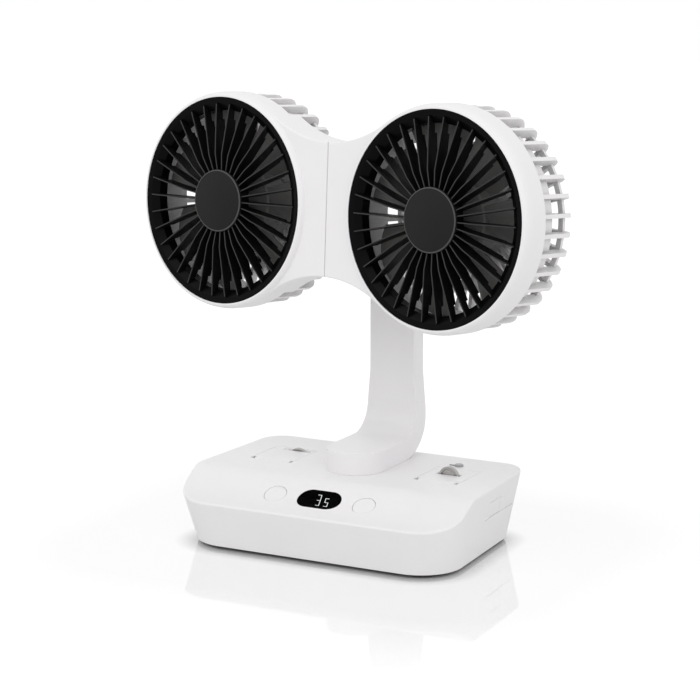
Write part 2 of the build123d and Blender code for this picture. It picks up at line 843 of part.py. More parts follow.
stem_shell = stem_body()
stem_shell -= c_band(-cut_margin, channel_depth, channel_half_width) & behind(channel_start_y)
stem_core = c_band(core_back_depth, core_front_depth, core_half_width) & behind(core_start_y)
stem_shell -= stem_core
for x, y in foot_screw_places:
    stem_shell -= rod_at(x, y, screw_radius, deck_z, under_deck_z + foot_screw_length)
stem_shell -= rod_at(0, swivel_y, swivel_bolt_radius, arm_low_z, arm_top_z)
stem_back_cover = c_band(0, stem_cover_thickness, channel_half_width - stem_cover_gap)
stem_back_cover &= behind(channel_start_y + stem_cover_gap)
foot_screws = [
    Pos(x, y, under_deck_z) * screw(foot_screw_length, screw_radius, screw_head_radius, screw_head_height)
    for x, y in foot_screw_places]

# Swivel: bolt, washer and nut stay with the arm; the hub turns on them
barrel_low_z = arm_top_z + swivel_washer_thickness
barrel_high_z = barrel_low_z + barrel_height
nut_low_z = barrel_high_z + cap_nut_gap
nut_high_z = nut_low_z + cap_nut_height
bolt_high_z = nut_high_z - nut_end_thickness

swivel_bolt = rod_at(0, swivel_y, swivel_bolt_radius, arm_low_z, bolt_high_z)
swivel_bolt += rod_at(0, swivel_y, bolt_head_radius, arm_low_z - bolt_head_height, arm_low_z)
swivel_washer = Pos(0, swivel_y, 0) * ring(
    swivel_washer_radius, swivel_bolt_radius, arm_top_z, barrel_low_z)
swivel_cap_nut = rod_at(0, swivel_y, cap_nut_radius, nut_low_z, nut_high_z) - swivel_bolt

hub_place = Pos(0, swivel_y, tilt_axis_z) * Rot(0, 0, -rest_yaw) * Pos(0, -neck_reach, 0)
hub_place *= Rot(0, rest_lean, 0)
head_place = hub_place * Rot(-rest_tilt, 0, 0)

knuckle = rod_along_x(knuckle_radius, -knuckle_half_length, knuckle_half_length)
neck = box_between(
    (-neck_half_width, 0, -neck_half_height), (neck_half_width, neck_reach, neck_half_height))
swivel_hub = hub_place * (knuckle + neck)
swivel_hub += rod_at(0, swivel_y, barrel_radius, barrel_low_z, barrel_high_z)
swivel_hub -= rod_at(
    0, swivel_y, swivel_bolt_radius + swivel_bolt_gap, barrel_low_z - cut_margin, barrel_high_z + cut_margin)
tilt_shaft = hub_place * rod_along_x(tilt_shaft_radius, -tilt_shaft_half_length, tilt_shaft_half_length)
swivel_hub -= tilt_shaft
boss_start = knuckle_half_length + tilt_washer_thickness + shaft_boss_gap
tilt_washers = []
for side in (-1, 1):
    washer_middle = side * (knuckle_half_length + boss_start) / 2
    washer = rod_along_x(tilt_washer_radius, -tilt_washer_thickness / 2, tilt_washer_thickness / 2)
    tilt_washers.append(hub_place * Pos(washer_middle, 0, 0) * washer - tilt_shaft)


# Heads. Each is built about its own fan axis, front towards +Z, with the seam at -X.

seam_x = -head_spacing + seam_gap / 2
arc_radius = (head_spacing ** 2 + bridge_half_height ** 2 - shell_radius ** 2)
arc_radius /= 2 * (shell_radius - bridge_half_height)
arc_centre_y = bridge_half_height + arc_radius
tangent_share = shell_radius / (shell_radius + arc_radius)
tangent_x = -head_spacing * tangent_share
tangent_y = arc_centre_y * tangent_share
shaft_depth = rim_ahead_of_shaft


def bridge_region(inset):
    """Front view of the link between the drum and the seam, with hollow upper and lower edges."""
    width = tangent_x - seam_x - inset
    region = Pos((seam_x + inset + tangent_x) / 2, 0) * Rectangle(width, 2 * tangent_y)
    for side in (-1, 1):
        region -= Pos(-head_spacing, side * arc_centre_y) * Circle(arc_radius + inset)
    return region


def bridge_slab(inset, rear, front):
    return Pos(0, 0, -rear) * extrude(bridge_region(inset), rear - front)


def bridge_body():
    """The link, rounded at its front edges and with its rear corners cut off."""
    body = bridge_slab(0, bridge_rear_depth, bridge_front_depth)
    rim = body.edges().filter_by(Plane.XY).group_by(Axis.Z)[-1]
    rim = rim.filter_by(lambda edge: edge.position_at(0.5).X < tangent_x - bridge_edge_round)
    body = fillet(rim, bridge_edge_round)
    for side in (-1, 1):
        wedge = make_face(Polyline(
            (side * bridge_half_height, -bridge_rear_depth),
            (side * (bridge_half_height - bridge_corner_cut), -bridge_rear_depth),
            (side * bridge_half_height, -bridge_rear_depth + bridge_corner_cut), close=True))
        body -= extrude(Plane.YZ * wedge, head_spacing, both=True)
    return body


def drum_body():
    """Drum whose front swells from the rim of the grille to the full radius."""
    front_radius = rim_radius + shell_gap + shell_lip
    swell = EllipticalCenterArc(
        (front_radius, -shell_front_round), shell_radius - front_radius, shell_front_round, arc_size=90)
    outline = [
        Line((0, 0), (front_radius, 0)),
        swell,
        Line((shell_radius, -shell_front_round), (shell_radius, -shell_depth)),
        Line((shell_radius, -shell_depth), (0, -shell_depth)),
        Line((0, -shell_depth), (0, 0)),
    ]
    return revolve(Plane.XZ * make_face(outline), Axis.Z)


def bridge_cavity():
    cavity = bridge_slab(bridge_wall, bridge_rear_depth, bridge_front_depth + bridge_wall)
    return cavity - rod(shell_radius + bridge_wall, -head_depth, 0)


def tilt_slot():
    """Room in the bridge for the knuckle and for the neck over the whole tilt."""
    return box_between(
        (-head_spacing - cut_margin, -slot_half_height, -head_depth),
        (-head_spacing + boss_start - shaft_boss_gap / 2, slot_half_height,
         -bridge_front_depth - bridge_wall))


def bridge_screw_places():
    return [(-head_spacing + bridge_screw_x, side * bridge_screw_y) for side in (-1, 1)]


def head_shell():
    shell = drum_body() + bridge_body()
    shell -= bridge_cavity()
    bore = rim_radius + shell_gap
    shell -= rod(shell_radius, -head_depth, -shell_depth)
    shell -= rod(bore, -shell_depth, 0)
    shell += ring(bore, bore - shoulder_width, -shoulder_rear_depth, -shoulder_front_depth)
    shell -= tilt_slot()
    boss = rod_along_x(shaft_boss_radius, -head_spacing + boss_start, -shell_radius - bridge_wall / 2)
    shell += Pos(0, 0, -shaft_depth) * boss
    for x, y in bridge_screw_places():
        screw_end = -bridge_rear_depth + small_screw_length
        shell += rod_at(
            x, y, small_boss_radius, -bridge_rear_depth + bridge_cover_thickness,
            -bridge_front_depth - bridge_wall)
        shell -= rod_at(x, y, small_screw_radius, -bridge_rear_depth, screw_end)
    shaft_end = -head_spacing + tilt_shaft_half_length + tilt_shaft_gap
    shaft_room = rod_along_x(tilt_shaft_radius + tilt_shaft_gap, -head_spacing, shaft_end)
    return shell - Pos(0, 0, -shaft_depth) * shaft_room


def bridge_cover():
    inset = bridge_wall + bridge_cover_gap
    cover = bridge_slab(inset, bridge_rear_depth, bridge_rear_depth - bridge_cover_thickness)
    cover -= rod(shell_radius + inset, -head_depth, 0)
    for side in (-1, 1):
        limit = bridge_half_height - bridge_corner_cut - bridge_cover_gap
        cover -= box_between(
            (-head_spacing, min(side * limit, side * head_spacing), -head_depth),
            (0, max(side * limit, side * head_spacing), 0))
    cover -= tilt_slot()
    for x, y in bridge_screw_places():
        cover -= rod_at(x, y, small_screw_radius, -bridge_rear_depth, 0)
        cover -= rod_at(
            x, y, small_screw_head_radius, -bridge_rear_depth, -bridge_rear_depth + small_screw_head_height)
    return cover


def around(piece, count):
    return [Rot(0, 0, 360 * turn / count) * piece for turn in range(count)]


def radial_plate(outline, thickness):
    """Flat plate in the plane through the fan axis, standing out along X."""
    return extrude(Plane.XZ * make_face(outline), thickness / 2, both=True)


def grille_rim():
    """Flat rim with a shallow dish that leads into the narrower throat."""
    outline = make_face(Polyline(
        (rim_radius, -shoulder_front_depth), (rim_radius, -shell_gap),
        (rim_radius - rim_edge, -shell_gap), (dish_radius, -dish_depth),
        (throat_radius, -throat_front_depth), (throat_radius, -throat_rear_depth),
        (duct_radius, -throat_rear_depth), (duct_radius, -shoulder_front_depth), close=True))
    return revolve(Plane.XZ * outline, Axis.Z)


def front_grille():
    hub = rod(grille_hub_radius, -grille_hub_depth, grille_hub_front)
    root = grille_hub_radius - fin_thickness
    fin_start = cap_radius + shell_gap
    seat = throat_radius + fin_seat
    fin = radial_plate(Polyline(
        (root, grille_hub_front), (fin_start, grille_hub_front), (fin_start, fin_root_height),
        (fin_peak_radius, fin_peak_height), (fin_waist_radius, fin_waist_height), (fin_tip_radius, shell_gap),
        (fin_tip_radius, -fin_tip_depth), (seat, -throat_front_depth - fin_seat), (seat, -fin_outer_depth),
        (fin_step_radius, -fin_outer_depth), (fin_step_radius, -fin_inner_depth), (root, -grille_hub_depth),
        close=True), fin_thickness)
    grille = grille_rim() + ([hub] + around(fin, fin_count))
    return grille - rod(cap_peg_radius, -cap_peg_depth, grille_hub_front)


def centre_cap():
    cap = rod(cap_radius, grille_hub_front, cap_front)
    cap = fillet(cap.edges().group_by(Axis.Z)[-1], cap_edge)
    return cap + rod(cap_peg_radius, -cap_peg_depth, grille_hub_front)


def motor_screw_places():
    turns = [360 * turn / motor_screw_count for turn in range(motor_screw_count)]
    return [(motor_screw_circle * cos(radians(a)), motor_screw_circle * sin(radians(a))) for a in turns]


def rear_cage():
    corner = rib_corner_radius
    bend = rib_inner_radius
    spoke_start = cage_hub_radius - cage_hub_overlap
    cage = ring(tunnel_outer_radius, duct_radius, -tunnel_end_depth, -tunnel_front_depth)
    cage += ring(rim_radius, duct_radius, -shell_depth, -shoulder_rear_depth)
    middle = corner * (1 - sin(radians(45)))
    bend_middle = bend * (1 - sin(radians(45)))
    spoke_front = spoke_depth - head_depth
    rib = radial_plate([
        Line((duct_radius, -shell_depth), (rib_radius, -shell_depth)),
        Line((rib_radius, -shell_depth), (rib_radius, corner - head_depth)),
        ThreePointArc(
            (rib_radius, corner - head_depth), (rib_radius - middle, middle - head_depth),
            (rib_radius - corner, -head_depth)),
        Line((rib_radius - corner, -head_depth), (spoke_start, -head_depth)),
        Line((spoke_start, -head_depth), (spoke_start, spoke_front)),
        Line((spoke_start, spoke_front), (duct_radius - bend, spoke_front)),
        ThreePointArc(
            (duct_radius - bend, spoke_front), (duct_radius - bend_middle, spoke_front + bend_middle),
            (duct_radius, spoke_front + bend)),
        Line((duct_radius, spoke_front + bend), (duct_radius, -shell_depth)),
    ], rib_thickness)
    hub = rod(cage_hub_radius, -head_depth, cage_hub_thickness - head_depth)
    mid_ring = ring(
        mid_ring_radius + mid_ring_width / 2, mid_ring_radius - mid_ring_width / 2,
        -head_depth, spoke_front)
    tie_ring = ring(tie_ring_outer, tie_ring_inner, -tie_ring_rear, -tie_ring_front)
    cage = cage + ([hub, mid_ring, tie_ring] + around(Rot(0, 0, rib_turn) * rib, rib_count))
    for x, y in motor_screw_places():
        cage -= rod_at(x, y, small_screw_radius, -head_depth, cage_hub_thickness - head_depth)
        cage -= rod_at(x, y, small_screw_head_radius, -head_depth, small_screw_head_height - head_depth)
    return cage


def rear_cap():
    return rod(rear_cap_radius, -head_depth - rear_cap_thickness, -head_depth)


def fan_motor():
    rear = cage_hub_thickness - head_depth
    motor = rod(motor_radius, rear, -motor_front_depth)
    motor -= rod(shaft_radius + shaft_gap, -shaft_rear_depth - shaft_gap, -motor_front_depth)
    screw_end = small_screw_head_height - head_depth + small_screw_length
    for x, y in motor_screw_places():
        motor -= rod_at(x, y, small_screw_radius, rear, screw_end)
    return motor


def motor_shaft():
    return rod(shaft_radius, -shaft_rear_depth, -shaft_front_depth)


def blade_section(distance, chord, pitch):
    half = chord / 2
    edge = blade_edge_thickness / 2
    thick = blade_thickness / 2
    outline = [
        ThreePointArc((-half, edge), (0, blade_camber + thick), (half, edge)),
        Line((half, edge), (half, -edge)),
        ThreePointArc((half, -edge), (0, blade_camber - thick), (-half, -edge)),
        Line((-half, -edge), (-half, edge)),
    ]
    place = Plane(origin=(distance, 0, -blade_middle_depth), x_dir=(0, 1, 0), z_dir=(1, 0, 0))
    return place * (Rot(0, 0, pitch) * make_face(outline))


def fan_impeller():
    inner = impeller_hub_radius - impeller_hub_wall
    hub = rod(impeller_hub_radius, -impeller_hub_rear, -impeller_hub_front)
    hub = fillet(hub.edges().group_by(Axis.Z)[-1], impeller_hub_wall)
    blade = loft([
        blade_section(blade_root_radius, blade_root_chord, blade_root_pitch),
        blade_section(blade_tip_radius + cut_margin, blade_tip_chord, blade_tip_pitch),
    ], ruled=True)
    blade &= rod(blade_tip_radius, -head_depth, 0)
    impeller = hub + around(blade, blade_count)
    impeller -= rod(inner, -impeller_hub_rear - cut_margin, -impeller_hub_front - impeller_hub_wall)
    impeller += rod(
        impeller_boss_radius, -impeller_boss_rear, -impeller_hub_front - impeller_hub_wall)
    return impeller - motor_shaft()


def head_screws():
    fastener = screw(
        small_screw_length - small_screw_head_height, small_screw_radius, small_screw_head_radius,
        small_screw_head_height)
    in_cover = [
        Pos(x, y, small_screw_head_height - bridge_rear_depth) * fastener
        for x, y in bridge_screw_places()]
    in_motor = [Pos(x, y, small_screw_head_height - head_depth) * fastener for x, y in motor_screw_places()]
    return in_cover, in_motor


os.makedirs("parts", exist_ok=True)

save("base_shell", base_shell)
save("base_bottom_plate", base_bottom_plate)
save("rubber_feet", rubber_feet)
save("base_screws", base_screws)
save("display_window", display_window)
save("display_digits", display_digits)
save("control_board", control_board)
save("button_switches", button_switches)
save("left_button", button_at(-button_x))
save("right_button", button_at(button_x))
save("battery_cells", battery_cells)
save("battery_holder", battery_holder)
save("main_board", main_board)
save("charge_board", charge_board)
save("charging_socket", charging_socket)
save("board_screws", board_screws)
save("port_flap", side_flap())

left_lid = hatch_lid(-hatch_x, left_tab_x, left_tab_y)
frame_low = deck_z - left_slot_frame_depth
left_lid -= box_between(
    (left_tab_x - left_slot_frame_half_length, left_tab_y - left_slot_frame_half_width, frame_low),
    (left_tab_x + left_slot_frame_half_length, left_tab_y + left_slot_frame_half_width, deck_z + cut_margin))
save("left_hatch_lid", left_lid)
save("right_hatch_lid", hatch_lid(hatch_x, hatch_x, right_tab_y))
save("left_pull_tab", pull_tab(left_tab_x, left_tab_y, left_tab_height))
save("right_pull_tab", pull_tab(hatch_x, right_tab_y, tab_raised_height))
save("left_hatch_well", hatch_well(-hatch_x))
save("right_hatch_well", hatch_well(hatch_x))
save("hatch_pins", [hatch_pin(-hatch_x, lid_pin_radius), hatch_pin(hatch_x, lid_pin_radius)])
save("catch_stud", catch_stud())

save("stem_shell", stem_shell)
save("stem_back_cover", stem_back_cover)
save("stem_core", stem_core)
save("foot_screws", foot_screws)
save("swivel_bolt", swivel_bolt)
save("swivel_washer", swivel_washer)
save("swivel_cap_nut", swivel_cap_nut)
save("swivel_hub", swivel_hub)
save("tilt_shaft", tilt_shaft)
save("tilt_washers", tilt_washers)

fan_pieces = {
    "grille": front_grille(),
    "center_cap": centre_cap(),
    "impeller": fan_impeller(),
    "motor": fan_motor(),
    "motor_shaft": motor_shaft(),
    "rear_cage": rear_cage(),
    "rear_cap": rear_cap(),
}
shell_piece = head_shell()
cover_piece = bridge_cover()
cover_screws, motor_screws = head_screws()
for side_name, side in (("left", -1), ("right", 1)):
    fan_place = head_place * Pos(side * head_spacing, -rim_ahead_of_shaft, 0) * Rot(90, 0, 0)
    for name, piece in fan_pieces.items():
        save(side_name + "_" + name, fan_place * piece)
    sided = [shell_piece, cover_piece] + cover_screws
    if side < 0:
        sided = [mirror(piece, about=Plane.YZ) for piece in sided]
    save(side_name + "_head_shell", fan_place * sided[0])
    save(side_name + "_bridge_cover", fan_place * sided[1])
    save(side_name + "_head_screws", [fan_place * piece for piece in sided[2:] + motor_screws])
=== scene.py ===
import json
import math

import bmesh
import bpy
from mathutils import Matrix, Vector


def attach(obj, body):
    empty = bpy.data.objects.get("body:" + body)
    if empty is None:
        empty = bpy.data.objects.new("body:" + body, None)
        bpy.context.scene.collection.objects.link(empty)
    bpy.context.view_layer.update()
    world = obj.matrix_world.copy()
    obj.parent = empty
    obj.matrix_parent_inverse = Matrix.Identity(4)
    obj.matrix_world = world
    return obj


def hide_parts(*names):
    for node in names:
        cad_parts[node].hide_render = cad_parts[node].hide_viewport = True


# Dual-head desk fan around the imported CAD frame. Metres, +Z up, front towards -Y.

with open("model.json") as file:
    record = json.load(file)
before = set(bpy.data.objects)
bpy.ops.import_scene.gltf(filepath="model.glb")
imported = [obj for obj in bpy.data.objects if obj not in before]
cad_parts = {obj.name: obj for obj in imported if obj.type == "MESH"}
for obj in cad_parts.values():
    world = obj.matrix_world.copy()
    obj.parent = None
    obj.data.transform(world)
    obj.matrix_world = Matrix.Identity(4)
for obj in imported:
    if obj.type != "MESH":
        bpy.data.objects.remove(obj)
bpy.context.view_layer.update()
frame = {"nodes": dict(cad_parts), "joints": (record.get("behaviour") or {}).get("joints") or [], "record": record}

MM = 0.001
NODES = frame["nodes"]
JOINTS = {joint["name"]: joint for joint in frame["joints"]}
BODIES = frame["record"]["behaviour"]["bodies"]
BODY_OF = {node: body for body, nodes in BODIES.items() for node in nodes}
SLOT_OF = {part["node"]: part["material_slot"] for part in frame["record"]["subparts"]}

# Camera, fitted to the base and the heads in the photograph
VIEW_AZIMUTH = math.radians(27.89)
VIEW_ELEVATION = math.radians(11.72)
VIEW_TARGET = Vector((-0.57, 0.0, 113.71)) * MM
VIEW_DISTANCE = 1438.1 * MM
VIEW_LENS_MM = 128.57
SENSOR_MM = 36.0
CLIP_START = 0.05
CLIP_END = 30

# Studio light: the strength that lights the fan, and the white that the camera sees
WORLD_LIGHT = 0.86
WORLD_SHOWN = 1.0
LAMP_TARGET = (0, 0, 0.12)
# Name, place, size and power of each lamp
LAMPS = [
    ("key", (-0.5, -1.2, 1.7), (1.6, 1.6), 9.0),
    ("fill", (1.6, -0.9, 0.9), (1.2, 1.2), 5.0),
]

# Floor: a faint mirror near the base on a glowing white, with painted shadow close under the base.
# Rays other than the camera's meet a plain white that bounces light.
FLOOR_SIZE = 6.0
FLOOR_WHITE = 0.3
FLOOR_GLOW = 0.82
FLOOR_GLOSS = 0.44
FLOOR_ROUGHNESS = 0.01
FLOOR_BOUNCE = 0.8
GLOSS_REACH = (0.06, 0.21)
# Reach of the painted shadow in the glow, and of the painted contact shade in the floor's colour
PAINTED_SHADOW_REACH = 0.014
PAINTED_SHADOW_SAMPLES = 16
PAINTED_CONTACT_REACH = 0.012
BASE_HALF_SIZE = (0.088, 0.06, 0.0)  # half the width and depth of the base on the floor

# Plastics: the moulded grain, and the slow change in tone with its reach in roughness
GRAIN_SCALE = 2600
GRAIN_DETAIL = 3
GRAIN_DEPTH = 0.2 * MM
TONE_SCALE = 35
TONE_DETAIL = 4
TONE_STOPS = (0.3, 0.7)
SMOOTHER = 0.05
ROUGHER = 0.06

# Painted shade between the ribs: reach, the openness from dark to plain, and the darkest share
HOLLOW_REACH = 12 * MM
HOLLOW_OPENNESS = (0.15, 0.7)
HOLLOW_DARKEST = 0.42

# Fan heads, in millimetres about each fan axis, with the front of the rim at zero.
# Profiles are (radius, height) points, and steps are those of a full turn.
RIM_RADIUS = 60.3
RIM_BACK = -11.5
RIM_FRONT = -0.15
LIP_RADIUS = 0.35
RIM_INSIDE = [
    (59.8, -0.16), (57.0, -0.6), (52.95, -3.2), (52.8, -3.4),
    (52.8, -9.5), (56.6, -9.5), (56.6, -11.5),
]
RIM_STEPS = 144

FIN_COUNT = 34
FIN_CREST = [(16.4, 0.85), (18.2, 0.9), (18.25, 1.8), (27.5, 3.0), (40.0, 1.8), (56.4, 0.15)]
FIN_BACK = [(16.4, -6.0), (47.4, -6.2), (47.45, -4.6), (53.0, -4.6), (53.05, -3.5), (56.4, -1.2)]
CROWN_HALF = 0.2
SHOULDER_HALF = 0.36
ROOT_HALF = 0.55
SHOULDER_DROP = 0.25
PAINTED_HIGHLIGHT_SIDES = (1, 2, 3)  # faces of a fin's section painted lighter as a highlight, with more shine

HUB_RADIUS = 17.4
HUB_FRONT = 0.9
HUB_BACK = -6.0
HUB_CHAMFER = 0.5
PEG_RADIUS = 3.0
PEG_BACK = -3.0
ROUND_STEPS = 96

CAP_RADIUS = 18.1
CAP_FRONT = 3.0
CAP_CHAMFER = 0.2
CAP_ROUNDING = 0.5
CAP_EDGE_INSET = 0.8
CAP_GROOVE = [(0.8, 0.0), (0.95, -0.12), (1.2, -0.12), (1.35, 0.0)]  # inset, height

# Steps of a quarter turn on a rounded edge
ARC_STEPS = 4

# Angles in degrees past which an edge stays sharp
FIN_SHARP = 25
RIM_SHARP = 20
HUB_SHARP = 38
CAP_SHARP = 50
CRISP_EDGE = 30

# Points nearer than this are joined, in a new piece before it is scaled to metres
PIECE_JOIN = 0.0001

# Rounded copies of nodes: the same in metres, the angle in degrees under which faces
# count as flat, and the segments of a rounding
COPY_JOIN = 0.002 * MM
FLAT_ANGLE = 0.5
ROUNDING_SEGMENTS = 2

# Materials by their look's name, filled by make_looks
LOOKS = {}

# Nodes whose look isn't named after their material slot
LOOK_OF = {"left_rear_cage": "cage_plastic_painted_shade", "right_rear_cage": "cage_plastic_painted_shade"}

# Nodes that are shown with their crisp edges rounded, by a width in millimetres
ROUNDED = {
    "stem_shell": 0.7,
    "left_hatch_lid": 0.25,
    "right_hatch_lid": 0.25,
    "left_pull_tab": 0.3,
    "right_pull_tab": 0.3,
    "left_button": 0.25,
    "right_button": 0.25,
    "catch_stud": 0.2,
    "port_flap": 0.2,
    "left_rear_cap": 0.4,
    "right_rear_cap": 0.4,
    "left_rear_cage": 0.45,
    "right_rear_cage": 0.45,
}


# Mesh tools

def new_object(name, data):
    piece = bpy.data.objects.new(name, data)
    bpy.context.scene.collection.objects.link(piece)
    return piece


def smooth_mesh(name, bm, looks, sharp, place=Matrix()):
    """Mesh from a bmesh, moved into place and smooth apart from its sharp edges."""
    mesh = bpy.data.meshes.new(name)
    bm.to_mesh(mesh)
    bm.free()
    mesh.transform(place)
    for look in looks:
        mesh.materials.append(LOOKS[look])
    mesh.shade_smooth()
    mesh.set_sharp_from_angle(angle=math.radians(sharp))
    return mesh


def stand_for(piece, node):
    """The piece moves with the node's body and is shown in its place."""
    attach(piece, BODY_OF[node])
    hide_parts(node)


def make_piece(name, node, bm, looks, place, sharp):
    """Piece that stands for a node, from a bmesh built in millimetres."""
    bmesh.ops.remove_doubles(bm, verts=bm.verts, dist=PIECE_JOIN)
    bmesh.ops.recalc_face_normals(bm, faces=bm.faces)
    mesh = smooth_mesh(name, bm, looks, sharp, place @ Matrix.Scale(MM, 4))
    stand_for(new_object(name, mesh), node)


def look_of(node):
    return LOOK_OF.get(node, SLOT_OF[node])


def rounded_copy(node, width):
    """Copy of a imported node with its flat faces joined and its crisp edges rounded."""
    bm = bmesh.new()
    bm.from_mesh(NODES[node].data)
    bmesh.ops.remove_doubles(bm, verts=bm.verts, dist=COPY_JOIN)
    bmesh.ops.dissolve_limit(
        bm, angle_limit=math.radians(FLAT_ANGLE), verts=bm.verts, edges=bm.edges)
    name = node + "_body"
    piece = new_object(name, smooth_mesh(name, bm, [look_of(node)], CRISP_EDGE))
    bevel = piece.modifiers.new("rounded edges", "BEVEL")
    bevel.width = width * MM
    bevel.segments = ROUNDING_SEGMENTS
    bevel.limit_method = "ANGLE"
    bevel.angle_limit = math.radians(CRISP_EDGE)
    bevel.harden_normals = True
    bevel.miter_outer = "MITER_ARC"
    stand_for(piece, node)


def lathe(bm, profile, steps, closed=True):
    """Turns a list of (radius, height) points about Z and returns the new faces."""
    rings = []
    for step in range(steps):
        turn = 2 * math.pi * step / steps
        rings.append([
            bm.verts.new((r * math.cos(turn), r * math.sin(turn), z)) for r, z in profile])
    faces = []
    last = len(profile) if closed else len(profile) - 1
    for near, far in zip(rings, rings[1:] + rings[:1]):
        for index in range(last):
            after = (index + 1) % len(profile)
            faces.append(bm.faces.new((near[index], near[after], far[after], far[index])))
    return faces


def quarter_arc(centre, radius):
    """Points of an outer edge's rounding in the (radius, height) plane, from side to front."""
    turns = [math.radians(90 * step / ARC_STEPS) for step in range(ARC_STEPS + 1)]
    return [(centre[0] + radius * math.cos(t), centre[1] + radius * math.sin(t)) for t in turns]


def value_at(points, place):
    """Value at a place on straight runs between (place, value) pairs."""
    for (a, low), (b, high) in zip(points, points[1:]):
        if place <= b:
            return low + (high - low) * (place - a) / (b - a)
    return points[-1][1]


def repeat_around(bm, count):
    """Repeats everything in the bmesh around Z."""
    source = bm.verts[:] + bm.edges[:] + bm.faces[:]
    for index in range(1, count):
        copy = bmesh.ops.duplicate(bm, geom=source)
        verts = [item for item in copy["geom"] if isinstance(item, bmesh.types.BMVert)]
        turn = Matrix.Rotation(2 * math.pi * index / count, 4, "Z")
        bmesh.ops.transform(bm, matrix=turn, verts=verts)


# Shader tools

def grey(level):
    return (level, level, level)


def add_node(tree, kind, inputs=None, **settings):
    """New shader node of a kind, with its plain input values and its settings."""
    node = tree.nodes.new("ShaderNode" + kind)
    for name, value in settings.items():
        setattr(node, name, value)
    for socket, value in (inputs or {}).items():
        node.inputs[socket].default_value = value
    return node


def mix_shaders(tree, share, first, second):
    """Output socket of two shaders mixed, where a share of one shows the second alone."""
    mix = add_node(tree, "MixShader")
    tree.links.new(share, mix.inputs["Fac"])
    tree.links.new(first, mix.inputs[1])
    tree.links.new(second, mix.inputs[2])
    return mix.outputs[0]


def white_light(tree, strength):
    return add_node(tree, "Background", {"Color": (1, 1, 1, 1), "Strength": strength}).outputs[0]


# Camera, light and floor

def aim(piece, direction):
    piece.rotation_mode = "QUATERNION"
    piece.rotation_quaternion = direction.to_track_quat("-Z", "Y")


def make_camera():
    back = Vector((
        math.sin(VIEW_AZIMUTH) * math.cos(VIEW_ELEVATION),
        -math.cos(VIEW_AZIMUTH) * math.cos(VIEW_ELEVATION),
        math.sin(VIEW_ELEVATION)))
    data = bpy.data.cameras.new("camera")
    data.sensor_width = SENSOR_MM
    data.lens = VIEW_LENS_MM
    data.clip_start = CLIP_START
    data.clip_end = CLIP_END
    camera = new_object("camera", data)
    camera.location = VIEW_TARGET + back * VIEW_DISTANCE
    aim(camera, -back)
    bpy.context.scene.camera = camera


def make_lamp(name, place, size, power):
    data = bpy.data.lights.new(name, "AREA")
    data.shape = "RECTANGLE"
    data.size, data.size_y = size
    data.energy = power
    lamp = new_object(name, data)
    lamp.location = place
    aim(lamp, Vector(LAMP_TARGET) - Vector(place))


def make_world():
    """White room: brighter where it is seen, mirrored or looked at through a clear part."""
    world = bpy.data.worlds.new("studio")
    bpy.context.scene.world = world
    world.use_nodes = True
    tree = world.node_tree
    tree.nodes.clear()
    path = add_node(tree, "LightPath")
    shown = path.outputs["Is Camera Ray"]
    for ray in ("Is Glossy Ray", "Is Transmission Ray"):
        either = add_node(tree, "Math", operation="MAXIMUM")
        tree.links.new(shown, either.inputs[0])
        tree.links.new(path.outputs[ray], either.inputs[1])
        shown = either.outputs[0]
    light = white_light(tree, WORLD_LIGHT)
    surface = mix_shaders(tree, shown, light, white_light(tree, WORLD_SHOWN))
    tree.links.new(surface, add_node(tree, "OutputWorld").inputs["Surface"])


def floor_gloss(tree):
    """Socket with the floor's gloss, which falls to zero away from the base."""
    place = add_node(tree, "NewGeometry").outputs["Position"]
    steps = (("ABSOLUTE", None), ("SUBTRACT", BASE_HALF_SIZE), ("MAXIMUM", (0, 0, 0)))
    for operation, value in steps:
        step = add_node(tree, "VectorMath", {1: value} if value else None, operation=operation)
        tree.links.new(place, step.inputs[0])
        place = step.outputs["Vector"]
    distance = add_node(tree, "VectorMath", operation="LENGTH")
    tree.links.new(place, distance.inputs[0])
    fade = add_node(tree, "MapRange", {
        "From Min": GLOSS_REACH[0], "From Max": GLOSS_REACH[1],
        "To Min": FLOOR_GLOSS, "To Max": 0})
    tree.links.new(distance.outputs["Value"], fade.inputs["Value"])
    return fade.outputs["Result"]


def make_floor():
    half = FLOOR_SIZE / 2
    corners = [(-half, -half, 0), (half, -half, 0), (half, half, 0), (-half, half, 0)]
    mesh = bpy.data.meshes.new("floor")
    mesh.from_pydata(corners, [], [(0, 1, 2, 3)])
    floor = new_object("floor", mesh)
    material = bpy.data.materials.new("floor")
    material.use_nodes = True
    tree = material.node_tree
    tree.nodes.clear()

    # Painted shade: the floor's colour darkens close under the base
    painted_contact_shade = add_node(tree, "AmbientOcclusion", {
        "Distance": PAINTED_CONTACT_REACH, "Color": (*grey(FLOOR_WHITE), 1)})
    diffuse = add_node(tree, "BsdfDiffuse")
    tree.links.new(painted_contact_shade.outputs["Color"], diffuse.inputs["Color"])

    # Painted shadow: the glow fades where the base is close above the floor
    cover = add_node(tree, "AmbientOcclusion", {"Distance": PAINTED_SHADOW_REACH}, samples=PAINTED_SHADOW_SAMPLES)
    level = add_node(tree, "Math", {1: FLOOR_GLOW}, operation="MULTIPLY")
    glow = add_node(tree, "Emission")
    tree.links.new(cover.outputs["AO"], level.inputs[0])
    tree.links.new(level.outputs[0], glow.inputs["Strength"])

    lit = add_node(tree, "AddShader")
    tree.links.new(diffuse.outputs[0], lit.inputs[0])
    tree.links.new(glow.outputs[0], lit.inputs[1])
    gloss = add_node(tree, "BsdfGlossy", {"Roughness": FLOOR_ROUGHNESS})
    shown = mix_shaders(tree, floor_gloss(tree), lit.outputs[0], gloss.outputs[0])

    plain = add_node(tree, "BsdfDiffuse", {"Color": (*grey(FLOOR_BOUNCE), 1)})
    seen = add_node(tree, "LightPath").outputs["Is Camera Ray"]
    surface = mix_shaders(tree, seen, plain.outputs[0], shown)
    tree.links.new(surface, add_node(tree, "OutputMaterial").inputs["Surface"])
    mesh.materials.append(material)


# Materials

